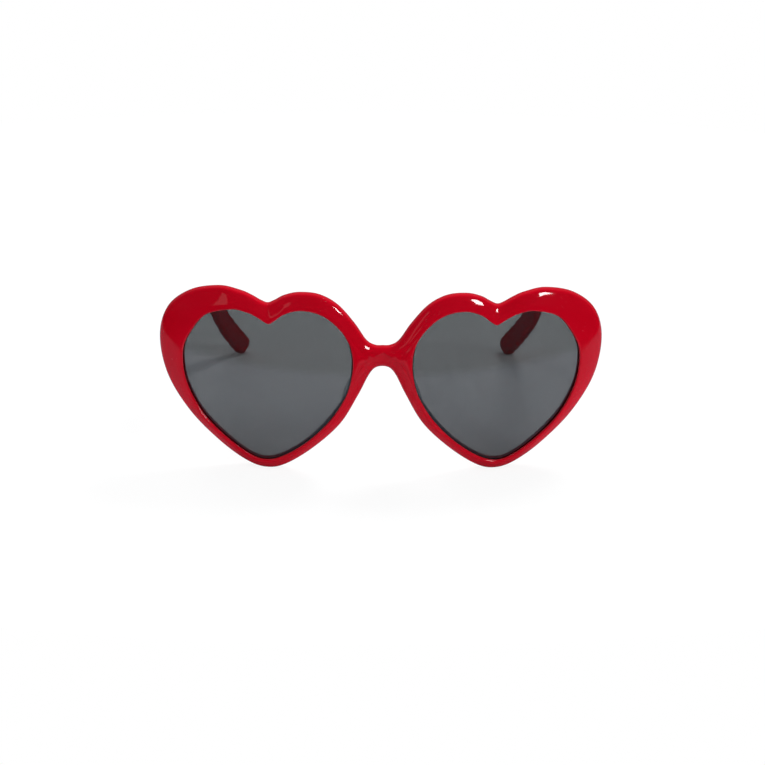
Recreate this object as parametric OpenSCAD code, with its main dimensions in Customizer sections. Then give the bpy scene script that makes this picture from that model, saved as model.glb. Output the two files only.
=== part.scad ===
// Heart shaped sunglasses, standing open on the points of the hearts and the temple tips.
// The front faces -Y, the temples run back along +Y and left means the wearer's left, +X.
// The origin is under the middle of the whole, on the surface that it stands on.

/* [Front] */
// Width of the front over both hearts
front_w = 146; // [134:1:160]
// Height of the front from the points of the hearts to the tops of the lobes
front_h = 60.6; // [56:0.2:66]
// Gap between the two lens openings, over the nose
opening_gap = 19; // [16:0.2:22]
// Radius of the curve that wraps the front round the face
wrap_r = 200; // [160:5:400]

/* [Rim] */
// Width of the rim on the outer side of the heart
rim_side_w = 8.1; // [6.5:0.1:9]
// Width of the rim above the lobes
rim_top_w = 6; // [5:0.1:7]
// Width of the rim under the point of the heart
rim_point_w = 3.4; // [3:0.1:4.6]
// Thickness of the rim from its crown to its back
rim_t = 5.2; // [4.8:0.1:6.5]
// Rounding of the lip round the lens
lip_round_r = 0.4; // [0.3:0.05:0.5]
// Depth of the rim's rounding from its face at the lip to its outer side
dome_h = 3.2; // [2.4:0.1:3.4]
// How far the bridge's face lies behind the faces of the rims
bridge_drop = 0.7; // [0.3:0.1:0.9]
// How much further the lip behind the lens reaches in than the lip in front
back_lip_w = 0.4; // [0.2:0.05:0.6]
// Rounding of the rim's back edge
back_edge_r = 0.8; // [0.4:0.1:1]

/* [Lenses] */
// Thickness of a lens
lens_t = 1.8; // [1.4:0.1:2.2]
// Depth of the groove that holds the lens
groove_d = 1; // [0.7:0.1:1.2]
// Thickness of the lip in front of the lens
lip_t = 0.6; // [0.4:0.1:0.8]
// Gap all round a lens in its groove
lens_fit = 0.06; // [0.03:0.01:0.1]

/* [Temples] */
// Length of a temple along its middle line, from the hinge to the tip
temple_len = 133; // [126:1:146]
// Length of a temple from the hinge to where it starts to bend down
temple_straight_len = 84; // [76:1:92]
// Length of the bend over the ear
bend_len = 16; // [13:1:26]
// Angle through which the temple bends down over the ear
bend_angle = 36; // [26:1:40]
// Angle by which each temple runs outward from the hinge
spread_angle = 2.2; // [0:0.2:3]
// Angle by which the tip turns in towards the head
tip_in_angle = 35; // [10:1:37]
// Height of a temple where it meets the front
butt_h = 8.8; // [8.6:0.1:9.6]
// Height of a temple at its slimmest, ahead of the bend
waist_h = 7; // [6:0.1:8]
// Height of the paddle at the end of a temple
paddle_h = 8.4; // [8:0.1:10]
// Thickness of a temple where it meets the front
temple_t = 4.2; // [3.8:0.1:4.6]
// Thickness of the paddle
paddle_t = 3.8; // [3.4:0.1:4.2]
// Rounding of a temple's long edges
temple_edge_r = 1.3; // [0.8:0.1:1.5]
// Gap between a temple and the front when it is open
butt_gap = 0.2; // [0.16:0.02:0.4]
// Height of the hinges' middle, as a share of the height of the front
hinge_share = 0.848; // [0.81:0.002:0.856]
// Length of the lug that carries the hinge, behind the rim
lug_len = 5.4; // [4:0.1:8]

/* [Hinges] */
// Radius of a hinge barrel
barrel_r = 1.6; // [1.4:0.05:1.8]
// Height of one hinge barrel
barrel_h = 1.4; // [1.2:0.05:1.5]
// Gap between one barrel and the next
barrel_gap = 0.1; // [0.06:0.01:0.14]
// Radius of the screw's shank
screw_r = 0.7; // [0.5:0.02:0.8]
// Running gap round the screw
screw_fit = 0.03; // [0.02:0.01:0.06]
// Radius of the screw's head
screw_head_r = 1.15; // [1.05:0.05:1.25]
// Height of the screw's head
screw_head_h = 0.6; // [0.4:0.05:0.8]
// Thickness of a hinge leaf
leaf_t = 1.1; // [0.9:0.05:1.2]
// Height of the tail that anchors a leaf in the plastic
tail_h = 4.6; // [3.6:0.1:6]
// Length of the front leaf's tail
front_tail_len = 3; // [2:0.1:3.2]
// Length of the temple leaf's tail
temple_tail_len = 12; // [8:0.5:16]

/* [Nose pads] */
// Height of a nose pad along its face
pad_h = 16; // [12:0.5:17]
// Width of a nose pad from the rim to its rear edge
pad_w = 6.8; // [6:0.1:8]
// Thickness of a nose pad in its middle
pad_t = 2.6; // [2:0.1:3]
// Radius of the peg that holds a pad
peg_r = 0.6; // [0.5:0.05:0.7]
// Length of the peg inside the rim
peg_len = 1.5; // [1:0.1:1.8]

/* [Hidden] */

// Outer edge of the left heart, clockwise from the cleft round to the middle of the bridge's
// underside, as shares of half the front's width and of its height
outer_low_shares = [
    [0.504, 0.924], [0.534, 0.935], [0.574, 0.96], [0.625, 0.983], [0.72, 1], [0.85, 0.964],
    [0.957, 0.862], [1, 0.698], [0.973, 0.49], [0.874, 0.293], [0.735, 0.131], [0.61, 0.03],
    [0.515, 0], [0.425, 0.03], [0.299, 0.137], [0.182, 0.277], [0.105, 0.437], [0.062, 0.541],
    [0.034, 0.583], [0, 0.594]
];
// The same edge from the middle of the bridge's top, over the inner lobe, back to the cleft
outer_high_shares = [
    [0, 0.708], [0.035, 0.711], [0.072, 0.739], [0.124, 0.83], [0.197, 0.928],
    [0.278, 0.98], [0.365, 0.988], [0.43, 0.969], [0.473, 0.94], [0.504, 0.924]
];
// Edge of the lens opening, with one point facing each point above, as shares of the opening
opening_shares = [
    [0.484, 0.908], [0.515, 0.922], [0.555, 0.948], [0.61, 0.973], [0.7, 0.987], [0.848, 0.944],
    [0.943, 0.827], [0.998, 0.69], [0.985, 0.49], [0.895, 0.29], [0.753, 0.134], [0.605, 0.025],
    [0.506, 0], [0.4, 0.038], [0.258, 0.145], [0.131, 0.289], [0.05, 0.43], [0.019, 0.52],
    [0.006, 0.59], [0, 0.645], [0.001, 0.695], [0.009, 0.75], [0.026, 0.805], [0.067, 0.876],
    [0.142, 0.952], [0.223, 0.992], [0.316, 1], [0.397, 0.972], [0.447, 0.932], [0.484, 0.908]
];
// How far each section's crown is drawn to the middle line of the bridge, 1 on the bridge itself
low_crown_shares = [0, 0, 0, 0, 0, 0, 0, 0, 0, 0, 0, 0, 0, 0, 0, 0, 0.1, 0.55, 0.9, 1];
high_crown_shares = [1, 0.9, 0.45, 0.1, 0, 0, 0, 0, 0, 0];
// Where the crown lies across the rim, from the opening at 0 to the outer edge at 1
crown_share = 0.5;
// Where the crown crosses the bridge, from its underside at 0 to its top at 1
bridge_crown_share = 0.78;
// Front of the rim from beside the lip to its outer side: shares of its width, and of dome_h
dome_shares = [[0.28, 0.05], [crown_share, 0.16], [0.7, 0.31], [0.86, 0.48], [0.96, 0.69], [1, 1]];
// Middle of the lip's rounding, as a share of its radius
lip_bend_share = 0.3;
// Rim sections from one outline point to the next
section_steps = 4;
// Overrun of a cut past the surface it opens
over = 0.4;

half_w = front_w / 2;
opening_w = half_w - rim_side_w - opening_gap / 2;
opening_h = front_h - rim_top_w - rim_point_w;
groove_front = lip_round_r + lip_t;
groove_back = groove_front + lens_t + 2 * lens_fit;

function outer_pt(s) = [s[0] * half_w, s[1] * front_h];
function opening_pt(s) = [opening_gap / 2 + s[0] * opening_w, rim_point_w + s[1] * opening_h];
function mirrored(p) = [-p[0], p[1]];
function mix(a, b, t) = a + (b - a) * t;

// Smooth curve through four points in a row, between the middle two
function span(a, b, c, d, t) =
    b + t * (c - a) / 2 + t * t * (2 * a - 5 * b + 4 * c - d) / 2
    + t * t * t * (3 * b - a - 3 * c + d) / 2;

// Smooth curve through a row of points, which before and after lead into and out of
function curve(pts, before, after, steps) =
    let (p = concat([before], pts, [after]))
    [for (i = [1:len(pts) - 1], k = [0:steps - 1])
        span(p[i - 1], p[i], p[i + 1], p[i + 2], k / steps)];

low_pts = [for (s = outer_low_shares) outer_pt(s)];
high_pts = [for (s = outer_high_shares) outer_pt(s)];
open_pts = [for (s = opening_shares) opening_pt(s)];
low_n = len(low_pts);
low_last = low_pts[low_n - 1];
high_last = len(high_pts) - 1;
bridge_row = (low_n - 1) * section_steps;
bridge_z = mix(low_last[1], high_pts[0][1], bridge_crown_share);

// Section ends on the outer edge; the two on the bridge's middle line end each stretch
outer_edge = concat(
    curve(low_pts, high_pts[high_last - 1], mirrored(low_pts[low_n - 2]), section_steps),
    [low_last],
    curve(high_pts, mirrored(high_pts[1]), low_pts[1], section_steps)
);
rows = len(outer_edge);
open_curve = curve(open_pts, open_pts[len(open_pts) - 2], open_pts[1], section_steps);
// The stretch that faces the bridge's middle line is one step long
open_edge = [for (i = [0:len(open_curve) - 1])
    if (i <= bridge_row || i >= bridge_row + section_steps) open_curve[i]];
crown_draw = concat(
    curve(low_crown_shares, 0, 1, section_steps), [1], curve(high_crown_shares, 1, 0, section_steps)
);

// Crown of the rim at each section
crown_line = [for (i = [0:rows - 1])
    mix(mix(open_edge[i], outer_edge[i], crown_share), [outer_edge[i][0], bridge_z],
        min(1, max(0, crown_draw[i])))];

// A point across section i, at distance s from the opening
function across(i, s) =
    let (a = open_edge[i], k = crown_line[i], b = outer_edge[i], in_w = norm(k - a))
    s <= in_w ? mix(a, k, s / in_w) : mix(k, b, (s - in_w) / norm(b - k));
function crown_s(i) = norm(crown_line[i] - open_edge[i]);
function rim_w(i) = crown_s(i) + norm(outer_edge[i] - crown_line[i]);
// A distance across section i from a share of its width, with the crown on the crown line
function share_s(i, u) =
    u <= crown_share ? u / crown_share * crown_s(i)
    : mix(crown_s(i), rim_w(i), (u - crown_share) / (1 - crown_share));

// Depth behind the rims' face becomes a place on the wrapped front: counted from where that face
// would cross the middle line, and then from halfway between there and the temple tips
function depth_behind(x, d) = wrap_r - sqrt(pow(wrap_r - d, 2) - x * x);
function wrapped_y(x, d) = depth_behind(x, d) - half_depth;
function wrapped(p, d) = [p[0], wrapped_y(p[0], d), p[1]];

// How far section i lies back with the bridge's face
function sunk(i) = bridge_drop * min(1, max(0, crown_draw[i]));

// One closed section of the rim, from the lip over the crown and round the back to the groove
function rim_section(i) = concat(
    [
        wrapped(across(i, 0), lip_round_r),
        wrapped(across(i, lip_round_r * lip_bend_share), lip_round_r * lip_bend_share),
        wrapped(across(i, lip_round_r), 0)
    ],
    [for (s = dome_shares) wrapped(across(i, share_s(i, s[0])), dome_h * s[1] + sunk(i))],
    [
        wrapped(across(i, rim_w(i)), rim_t - back_edge_r),
        wrapped(across(i, rim_w(i) - back_edge_r), rim_t),
        wrapped(across(i, crown_s(i)), rim_t),
        wrapped(across(i, lip_round_r - back_lip_w), rim_t),
        wrapped(across(i, -back_lip_w), rim_t - lip_round_r),
        wrapped(across(i, -back_lip_w), groove_back),
        wrapped(across(i, groove_d), groove_back),
        wrapped(across(i, groove_d), groove_front),
        wrapped(across(i, 0), groove_front)
    ]
);
crown_col = 4;
back_col = 11;
cols = 18;

// Faces between two sections; the two beside the bridge's middle line share their crown
function rim_faces() = [
    for (i = [0:rows - 1], j = [0:cols - 1])
        let (a = i * cols + j, b = i * cols + (j + 1) % cols)
        let (c = ((i + 1) % rows) * cols + (j + 1) % cols, d = ((i + 1) % rows) * cols + j)
        each i != bridge_row ? [[a, b, c], [a, c, d]]
            : j == crown_col - 1 ? [[a, b, d]]
            : j == back_col ? [[a, b, c]]
            : j < crown_col || j > back_col ? [[a, b, c], [a, c, d]]
            : []
];

module both_hearts() {
    half = [for (i = [0:rows - 1]) each rim_section(i)];
    other = [for (p = half) [-p[0], p[1], p[2]]];
    faces = rim_faces();
    turned = [for (f = faces) [f[2] + len(half), f[1] + len(half), f[0] + len(half)]];
    polyhedron(concat(half, other), concat(faces, turned));
}

// Middle line of a temple before it is sloped: it bends down and turns in past its straight part
hinge_z = front_h * hinge_share;
tip_r = paddle_h / 2;
line_steps = 28;
line_len = temple_len - tip_r;
function bend_at(l) = bend_angle * min(1, max(0, (l - temple_straight_len) / bend_len));
function turn_at(l) = -spread_angle
    + tip_in_angle * min(1, max(0, (l - temple_straight_len) / (line_len - temple_straight_len)));
function heading(l) = [
    -sin(turn_at(l)) * cos(bend_at(l)), cos(turn_at(l)) * cos(bend_at(l)), -sin(bend_at(l))
];
line_step = line_len / line_steps;
middle_line = [for (i = 0, p = [0, 0, 0]; i <= line_steps;
    p = p + line_step * heading((i + 0.5) * line_step), i = i + 1) p];
line_end = middle_line[line_steps];

// Slope that lets the round tip just touch the surface the glasses stand on
slope = asin((hinge_z - tip_r) / norm([line_end[1], line_end[2]]))
    - atan2(-line_end[2], line_end[1]);
function sloped(p) = [p[0], p[1] * cos(slope) + p[2] * sin(slope),
    p[2] * cos(slope) - p[1] * sin(slope)];

// Hinge place: the temple's inner side lies just outside the pin's axis
leaf_off = barrel_r - leaf_t;
skin = 0.2;
temple_out_x = half_w * 0.892;
temple_in_x = temple_out_x - temple_t;
hinge_x = temple_in_x - skin;
half_depth = (depth_behind(temple_in_x, rim_t) + lug_len + sloped(line_end)[1] + tip_r) / 2;
hinge_y = wrapped_y(temple_in_x, rim_t) + lug_len;
hinge_h = 5 * barrel_h + 4 * barrel_gap;
middle_barrels_h = 3 * barrel_h + 2 * barrel_gap;
notch_r = barrel_r + skin;
pocket_fit = 0.04;

// A rectangle with round corners as a row of points
function round_rect(w, h, r) = [
    for (q = [0:3], k = [0:3])
        let (a = 90 * q + 30 * k)
        let (sx = q == 0 || q == 3 ? 1 : -1, sy = q < 2 ? 1 : -1)
        [sx * (w / 2 - r) + r * cos(a), sy * (h / 2 - r) + r * sin(a)]
];

module at_hinge() {
    translate([hinge_x, hinge_y, hinge_z]) children();
}

// Room in the plastic for one hinge: the barrels' notch and the pocket of a leaf and its tail
module hinge_room(yoke_h, tail_len, tail_slope, tail_turn) {
    cylinder(h = hinge_h + 2 * skin, r = notch_r, center = true, $fn = 48);
    translate([leaf_off - pocket_fit, 0, -yoke_h / 2 - pocket_fit])
        cube([leaf_t + 2 * pocket_fit, 2 * notch_r, yoke_h + 2 * pocket_fit]);
    leaf_plate(yoke_h, tail_len, tail_slope, tail_turn, pocket_fit);
}

// Flat part of a leaf: the yoke beside the barrels, and the tail, which follows the plastic
module leaf_plate(yoke_h, tail_len, tail_slope, tail_turn, grow) {
    yoke_len = leaf_t * 1.6;
    translate([leaf_off - grow, notch_r - grow, -yoke_h / 2 - grow])
        cube([leaf_t + 2 * grow, yoke_len + 2 * grow, yoke_h + 2 * grow]);
    rotate([-tail_slope, 0, -tail_turn])
        translate([leaf_off - grow, notch_r + yoke_len / 2 - grow, -tail_h / 2 - grow])
            cube([leaf_t + 2 * grow, tail_len + 2 * grow, tail_h + 2 * grow]);
}

// Lug behind the rim, whose foot stays behind the lens's groove and follows the wrap
module lug() {
    intersection() {
        translate([temple_out_x - temple_t / 2, hinge_y - butt_gap / 2, hinge_z])
            rotate([90, 0, 0])
                linear_extrude(2 * lug_len)
                    polygon(round_rect(temple_t, butt_h, temple_edge_r));
        translate([0, wrap_r - half_depth, 0])
            cylinder(h = front_h, r = wrap_r - groove_back - over, $fn = 180);
    }
}

module front_frame() {
    color("#b0101e")
        difference() {
            union() {
                both_hearts();
                for (m = [0, 1]) mirror([m, 0, 0]) lug();
            }
            for (m = [0, 1]) mirror([m, 0, 0]) {
                at_hinge() mirror([0, 1, 0]) hinge_room(hinge_h, front_tail_len, 0, 0);
                pad_peg(peg_len + pocket_fit, over, pocket_fit);
            }
        }
}

// Outline of a lens, which reaches into the groove
lens_edge = [for (i = [0:rows - 1]) across(i, groove_d - lens_fit)];

module lens() {
    reach = wrap_r;
    color("#5d6066", 0.75)
        intersection() {
            rotate([90, 0, 0])
                translate([0, 0, -reach])
                    linear_extrude(2 * reach)
                        polygon(lens_edge);
            translate([0, wrap_r - half_depth, 0])
                difference() {
                    cylinder(h = 2 * front_h, r = wrap_r - groove_front - lens_fit, $fn = 180);
                    translate([0, 0, -over])
                        cylinder(h = 2 * front_h + 2 * over, r = wrap_r - groove_back + lens_fit,
                            $fn = 180);
                }
        }
}
module lens_left() {
    lens();
}
module lens_right() {
    mirror([1, 0, 0]) lens();
}

// Bottom of barrel number n above the hinge's middle
function barrel_z(n) = -hinge_h / 2 + n * (barrel_h + barrel_gap);

// One leaf: its barrels, the webs to its plate, the plate and the tail in the plastic
module hinge_leaf(barrels, yoke_h, tail_len, tail_slope, tail_turn, top_room) {
    color("#c8c8cc")
        difference() {
            union() {
                for (n = barrels) translate([0, 0, barrel_z(n)]) {
                    cylinder(h = barrel_h, r = barrel_r, $fn = 48);
                    translate([leaf_off, 0, 0]) cube([leaf_t, notch_r + leaf_t, barrel_h]);
                }
                leaf_plate(yoke_h, tail_len, tail_slope, tail_turn, 0);
            }
            translate([0, 0, -hinge_h / 2 - over])
                cylinder(h = hinge_h + 2 * over, r = screw_r + screw_fit, $fn = 32);
            if (top_room)
                translate([0, 0, hinge_h / 2 - screw_head_h])
                    cylinder(h = screw_head_h + over, r = screw_head_r + screw_fit, $fn = 32);
        }
}
module front_hinge_left() {
    at_hinge() mirror([0, 1, 0]) hinge_leaf([0, 2, 4], hinge_h, front_tail_len, 0, 0, true);
}
module front_hinge_right() {
    mirror([1, 0, 0]) front_hinge_left();
}
module temple_hinge_left() {
    at_hinge()
        hinge_leaf([1, 3], middle_barrels_h, temple_tail_len, slope, spread_angle, false);
}
module temple_hinge_right() {
    mirror([1, 0, 0]) temple_hinge_left();
}

module hinge_screw_left() {
    slot_w = screw_r * 0.5;
    slot_d = screw_head_h * 0.5;
    color("#d9d9dc")
        at_hinge()
            difference() {
                union() {
                    translate([0, 0, -hinge_h / 2])
                        cylinder(h = hinge_h - screw_head_h, r = screw_r, $fn = 32);
                    translate([0, 0, hinge_h / 2 - screw_head_h + screw_fit])
                        cylinder(h = screw_head_h - screw_fit, r = screw_head_r, $fn = 32);
                    translate([0, 0, hinge_h / 2 - screw_head_h - over])
                        cylinder(h = 2 * over, r = screw_r, $fn = 32);
                }
                translate([-screw_head_r - over, -slot_w / 2, hinge_h / 2 - slot_d])
                    cube([2 * (screw_head_r + over), slot_w, slot_d + over]);
            }
}
module hinge_screw_right() {
    mirror([1, 0, 0]) hinge_screw_left();
}

// Height and thickness along the temple, as named sizes at shares of its length
height_shares = [0, 0.1, 0.3, 0.55, 0.75, 0.9, 1];
height_sizes = [butt_h, butt_h, mix(butt_h, waist_h, 0.55), waist_h,
    mix(waist_h, paddle_h, 0.5), paddle_h, paddle_h];
thick_sizes = [temple_t, temple_t, mix(temple_t, paddle_t, 0.5), paddle_t, paddle_t, paddle_t,
    paddle_t];
function size_at(sizes, l) = lookup(l / line_len,
    [for (i = [0:len(sizes) - 1]) [height_shares[i], sizes[i]]]);

// One section of a temple, square to its middle line
function temple_section(p, l, height, thick) =
    let (t = heading(l), n = [cos(turn_at(l)), sin(turn_at(l)), 0])
    let (up = cross(n, t), r = min(temple_edge_r, 0.49 * thick, 0.49 * height))
    [for (q = round_rect(thick, height, r)) sloped(p + n * q[0] + up * q[1])];

module temple() {
    butt = [for (q = round_rect(temple_t, butt_h, temple_edge_r)) [q[0], 0, q[1]]];
    body = [for (i = [1:line_steps])
        each temple_section(middle_line[i], i * line_step, size_at(height_sizes, i * line_step),
            size_at(thick_sizes, i * line_step))];
    tip = [for (a = [18:18:72])
        each temple_section(line_end + heading(line_len) * tip_r * sin(a), line_len,
            paddle_h * cos(a), paddle_t * pow(cos(a), 0.6))];
    tip_end = sloped(line_end + heading(line_len) * tip_r);
    ring = len(butt);
    points = concat(butt, body, tip, [tip_end]);
    rings = (len(points) - 1) / ring;
    sides = [for (i = [0:rings - 2], j = [0:ring - 1])
        let (a = i * ring + j, b = i * ring + (j + 1) % ring)
        each [[a, b, b + ring], [a, b + ring, a + ring]]];
    butt_face = [[for (j = [ring - 1:-1:0]) j]];
    last = (rings - 1) * ring;
    tip_faces = [for (j = [0:ring - 1]) [last + j, last + (j + 1) % ring, rings * ring]];
    color("#b0101e")
        difference() {
            translate([temple_out_x - temple_t / 2, hinge_y + butt_gap / 2, hinge_z])
                polyhedron(points, concat(butt_face, sides, tip_faces));
            at_hinge()
                hinge_room(middle_barrels_h, temple_tail_len, slope, spread_angle);
        }
}
module temple_left() {
    temple();
}
module temple_right() {
    mirror([1, 0, 0]) temple();
}

// Nose pads: a crowned teardrop that leans with the rim and splays back along the nose
pad_splay_angle = 20;
pad_rake_angle = 23;
// Where the pad's foot lies across the rim, and how much of the teardrop its flat foot cuts off
pad_rim_share = 0.66;
pad_cut_share = 0.22;
// How many outline points below the bridge's underside the pads stand
pad_points_down = 3;
pad_row = bridge_row - pad_points_down * section_steps;
pad_foot = across(pad_row, rim_w(pad_row) * pad_rim_share);
pad_lift = 0.3;

module at_pad() {
    translate([pad_foot[0], wrapped_y(pad_foot[0], rim_t), pad_foot[1]]) children();
}

// The peg, from its depth in the rim to its height behind the rim's back
module pad_peg(depth, height, grow) {
    at_pad()
        translate([0, height, 0])
            rotate([90, 0, 0])
                cylinder(h = depth + height, r = peg_r + grow, $fn = 32);
}

// A crowned teardrop, fuller at its foot
module teardrop() {
    top_r = pad_w * 0.36;
    resize([pad_t, pad_w, pad_h])
        hull() {
            translate([0, 0, pad_w / 2 - pad_h / 2]) sphere(r = pad_w / 2, $fn = 24);
            translate([0, 0, pad_h / 2 - top_r]) sphere(r = top_r, $fn = 24);
        }
}

module nose_pad() {
    color("#dfe6e4", 0.6) {
        pad_peg(peg_len, pad_lift + peg_r, 0);
        at_pad()
            intersection() {
                rotate([0, -pad_rake_angle, 0])
                    rotate([0, 0, -pad_splay_angle])
                        translate([0, pad_w * (0.5 - pad_cut_share), 0])
                            teardrop();
                translate([-pad_h, pad_lift, -pad_h]) cube(2 * pad_h);
            }
    }
}
module nose_pad_left() {
    nose_pad();
}
module nose_pad_right() {
    mirror([1, 0, 0]) nose_pad();
}

front_frame();
lens_left();
lens_right();
nose_pad_left();
nose_pad_right();
front_hinge_left();
front_hinge_right();
temple_hinge_left();
temple_hinge_right();
hinge_screw_left();
hinge_screw_right();
temple_left();
temple_right();
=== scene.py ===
# %% [markdown]
# # Heart shaped sunglasses
# A moulded front in glossy red plastic holds two grey lenses. Two arms fold on small metal hinges,
# and two clear pads rest on the nose. The measured parts come in first as a fixed frame, and each
# finer piece is then built over the part that it stands for, in the same place and in metres.

# %% Load the measured frame
from math import asin, atan2, cos, degrees, pi, radians, sin, sqrt

import bmesh
import bpy
from mathutils import Matrix, Vector


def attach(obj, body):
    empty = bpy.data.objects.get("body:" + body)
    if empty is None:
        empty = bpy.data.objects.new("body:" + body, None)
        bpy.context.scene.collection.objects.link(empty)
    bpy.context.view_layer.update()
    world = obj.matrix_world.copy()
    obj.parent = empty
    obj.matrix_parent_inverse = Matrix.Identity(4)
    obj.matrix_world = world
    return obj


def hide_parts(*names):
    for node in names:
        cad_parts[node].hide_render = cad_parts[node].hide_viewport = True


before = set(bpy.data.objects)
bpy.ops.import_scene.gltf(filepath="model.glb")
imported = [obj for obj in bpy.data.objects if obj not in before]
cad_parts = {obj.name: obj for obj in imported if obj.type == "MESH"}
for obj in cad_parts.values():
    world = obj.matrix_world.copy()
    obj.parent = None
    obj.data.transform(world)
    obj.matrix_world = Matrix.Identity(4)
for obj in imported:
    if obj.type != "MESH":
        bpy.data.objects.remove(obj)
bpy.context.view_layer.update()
print("nodes:", sorted(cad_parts))

# %% [markdown]
# ## The camera
# The photo looks down on the glasses from in front and a little from their right side, by a camera
# that was held a hair askew. One could pose a camera by hand until it fits. Here it is worked out
# from the angles and the distance, so that the outline of the front falls where the photo has it.

# %% Camera
MM = 0.001
elevation, side_turn, askew = radians(18.5), radians(1.45), radians(0.69)
camera_distance, focal_length = 0.42, 60.54
focus = Vector((0, -60.72, 30)) * MM
aim_point = focus + Vector((0.19, -0.3, -0.88)) * MM


def aim(place, target, roll):
    """A matrix that puts a camera or lamp at place and points it at target."""
    turn = (target - place).to_track_quat("-Z", "Y").to_matrix().to_4x4()
    return Matrix.Translation(place) @ turn @ Matrix.Rotation(roll, 4, "Z")


ahead = Vector((sin(side_turn) * cos(elevation), cos(side_turn) * cos(elevation), -sin(elevation)))
camera_place = focus - ahead * camera_distance
camera = bpy.data.objects.new("camera", bpy.data.cameras.new("camera"))
camera.data.lens = focal_length
camera.data.clip_start = 0.01
camera.matrix_world = aim(camera_place, aim_point, askew)
bpy.context.scene.collection.objects.link(camera)
bpy.context.scene.camera = camera
bpy.context.scene.view_settings.view_transform = "Standard"
print("camera at", [round(v, 3) for v in camera_place])

# %% [markdown]
# ## The outline of the hearts
# The front is two mirrored hearts that flow into one bridge. One could trace a curve by hand, but a
# row of shares of the width and height keeps the shape readable. A smooth curve runs through them:
# one row goes round the outer edge, and a second row, point for point, round the lens opening.

# %% Sizes of the front
half_w, front_h = 73 * MM, 60.6 * MM
opening_gap, wrap_r = 19 * MM, 200 * MM
rim_side_w, rim_top_w, rim_point_w = 8.1 * MM, 6 * MM, 3.4 * MM
rim_t, lip_round_r, back_edge_r = 5.2 * MM, 0.4 * MM, 0.8 * MM
dome_h, bridge_drop = 3.2 * MM, 0.7 * MM
lens_t, groove_d, lip_t, lens_fit = 1.8 * MM, 1 * MM, 0.6 * MM, 0.06 * MM
back_lip_w, lip_fade_h = 0.4 * MM, 14 * MM
opening_w = half_w - rim_side_w - opening_gap / 2
opening_h = front_h - rim_top_w - rim_point_w
groove_front = lip_round_r + lip_t
groove_back = groove_front + lens_t + 2 * lens_fit

# Outer edge from the cleft round the lobe and the point to the middle of the bridge's underside
outer_low_shares = [
    (0.504, 0.924), (0.534, 0.935), (0.574, 0.96), (0.625, 0.983), (0.72, 1), (0.85, 0.964),
    (0.957, 0.862), (1, 0.698), (0.973, 0.49), (0.874, 0.293), (0.735, 0.131), (0.61, 0.03),
    (0.515, 0), (0.425, 0.03), (0.299, 0.137), (0.182, 0.277), (0.105, 0.437), (0.062, 0.541),
    (0.034, 0.583), (0, 0.594),
]
# The same edge from the middle of the bridge's top back to the cleft
outer_high_shares = [
    (0, 0.708), (0.035, 0.711), (0.072, 0.739), (0.124, 0.83), (0.197, 0.928),
    (0.278, 0.98), (0.365, 0.988), (0.43, 0.969), (0.473, 0.94), (0.504, 0.924),
]
# Edge of the lens opening, with one point facing each point above
opening_shares = [
    (0.484, 0.908), (0.515, 0.922), (0.555, 0.948), (0.61, 0.973), (0.7, 0.987), (0.848, 0.944),
    (0.943, 0.827), (0.998, 0.69), (0.985, 0.49), (0.895, 0.29), (0.753, 0.134), (0.605, 0.025),
    (0.506, 0), (0.4, 0.038), (0.258, 0.145), (0.131, 0.289), (0.05, 0.43), (0.019, 0.52),
    (0.006, 0.59), (0, 0.645), (0.001, 0.695), (0.009, 0.75), (0.026, 0.805), (0.067, 0.876),
    (0.142, 0.952), (0.223, 0.992), (0.316, 1), (0.397, 0.972), (0.447, 0.932), (0.484, 0.908),
]
# How far the crown of the rim is drawn to the middle line of the bridge at each of these points
low_crown_shares = [0] * 16 + [0.1, 0.55, 0.9, 1]
high_crown_shares = [1, 0.9, 0.45, 0.1] + [0] * 6
crown_share, bridge_crown_share = 0.5, 0.78
steps = 12

# %% Smooth curves through the shares


def span(a, b, c, d, t):
    """A smooth curve through four values in a row, between the middle two."""
    return (b + t * (c - a) / 2 + t**2 * (2 * a - 5 * b + 4 * c - d) / 2
            + t**3 * (3 * b - a - 3 * c + d) / 2)


def curve(values, before, after):
    """Smooth steps through a row of values, with the values before and after the row."""
    row = [before, *values, after]
    return [span(*row[i:i + 4], k / steps) for i in range(len(values) - 1) for k in range(steps)]


def mirrored(p):
    """The same place on the other side of the middle line."""
    return Vector((-p.x, p.y))


def share(value):
    """A value kept between 0 and 1."""
    return min(1, max(0, value))


low = [Vector((x * half_w, z * front_h)) for x, z in outer_low_shares]
high = [Vector((x * half_w, z * front_h)) for x, z in outer_high_shares]
opening = [Vector((opening_gap / 2 + x * opening_w, rim_point_w + z * opening_h))
           for x, z in opening_shares]
outer_edge = (curve(low, high[-2], mirrored(low[-2])) + [low[-1]]
              + curve(high, mirrored(high[1]), low[1]))
open_curve = curve(opening, opening[-2], opening[1])
bridge_row = (len(low) - 1) * steps
open_edge = open_curve[:bridge_row + 1] + open_curve[bridge_row + steps:]
rows = len(outer_edge)
print(rows, "places round each heart, the bridge at", bridge_row)

# %% The crown line, and places across the rim
bridge_z = low[-1].y + (high[0].y - low[-1].y) * bridge_crown_share
crown_draw = curve(low_crown_shares, 0, 1) + [1] + curve(high_crown_shares, 1, 0)
crown_line = [a.lerp(b, crown_share).lerp(Vector((b.x, bridge_z)), share(draw))
              for a, b, draw in zip(open_edge, outer_edge, crown_draw)]
inner_w = [(k - a).length for a, k in zip(open_edge, crown_line)]
outer_w = [(b - k).length for b, k in zip(outer_edge, crown_line)]


def across(i, s):
    """The place at row i that lies s from the lens opening towards the outer edge."""
    if s <= inner_w[i]:
        return open_edge[i].lerp(crown_line[i], s / inner_w[i])
    return crown_line[i].lerp(outer_edge[i], (s - inner_w[i]) / outer_w[i])


# The origin lies under the middle of the whole, this far behind the front's foremost place
half_depth = 68.723 * MM
side_row = 5 * steps


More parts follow.
